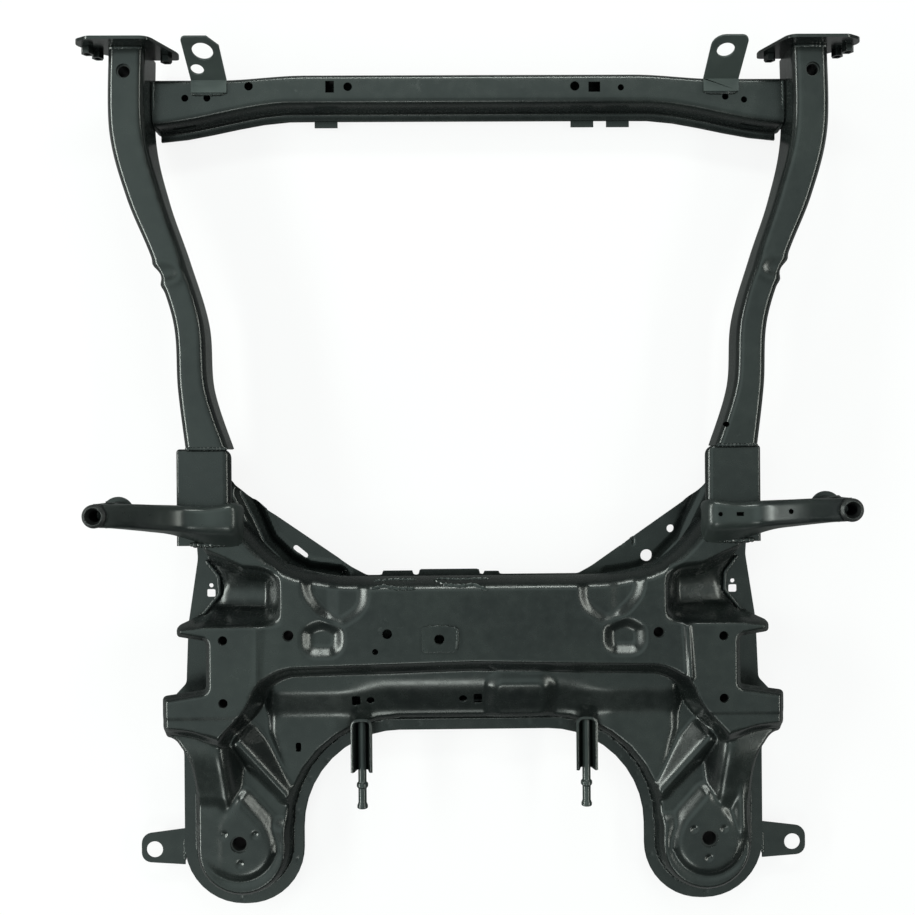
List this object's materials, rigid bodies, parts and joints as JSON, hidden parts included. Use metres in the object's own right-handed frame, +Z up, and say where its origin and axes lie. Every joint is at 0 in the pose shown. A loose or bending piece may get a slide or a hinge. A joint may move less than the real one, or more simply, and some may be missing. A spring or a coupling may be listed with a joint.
{
  "type": "front subframe",
  "caption": "Welded steel car front subframe: pressed rear cradle, curved side rails, front crossmember, raised body-mount horns, bored mounting sleeves and exhaust hangers.",
  "frame": {"origin": "under the middle of the frame, on the surface that it lies on", "axes": "+Y to the front of the car, +X to the right of the picture, +Z up"},
  "size_m": [0.9694, 1.0966, 0.225],
  "materials": {
    "black_paint": "satin",
    "painted_tube": "satin"
  },
  "bodies": {
    "root": {"lower_plate": "black_paint", "left_rear_tab": "black_paint", "right_rear_tab": "black_paint", "upper_shell": "black_paint", "left_rear_sleeve": "painted_tube", "right_rear_sleeve": "painted_tube", "left_arm_tubes": "painted_tube", "right_arm_tubes": "painted_tube", "left_rack_tube": "painted_tube", "right_rack_tube": "painted_tube", "washer_plate": "black_paint", "left_socket": "black_paint", "right_socket": "black_paint", "left_rail": "black_paint", "right_rail": "black_paint", "left_rail_sleeve": "painted_tube", "right_rail_sleeve": "painted_tube", "cross_upper": "black_paint", "cross_lower": "black_paint", "left_end_plate": "black_paint", "right_end_plate": "black_paint", "left_end_nuts": "painted_tube", "right_end_nuts": "painted_tube", "left_radiator_tab": "black_paint", "right_radiator_tab": "black_paint", "left_horn_lower": "black_paint", "right_horn_lower": "black_paint", "left_horn_upper": "black_paint", "right_horn_upper": "black_paint", "left_horn_sleeve": "black_paint", "right_horn_sleeve": "black_paint", "left_horn_washer": "black_paint", "right_horn_washer": "black_paint", "left_hanger_bracket": "black_paint", "right_hanger_bracket": "black_paint", "left_hanger_rod": "black_paint", "right_hanger_rod": "black_paint"}
  },
  "joints": []
}
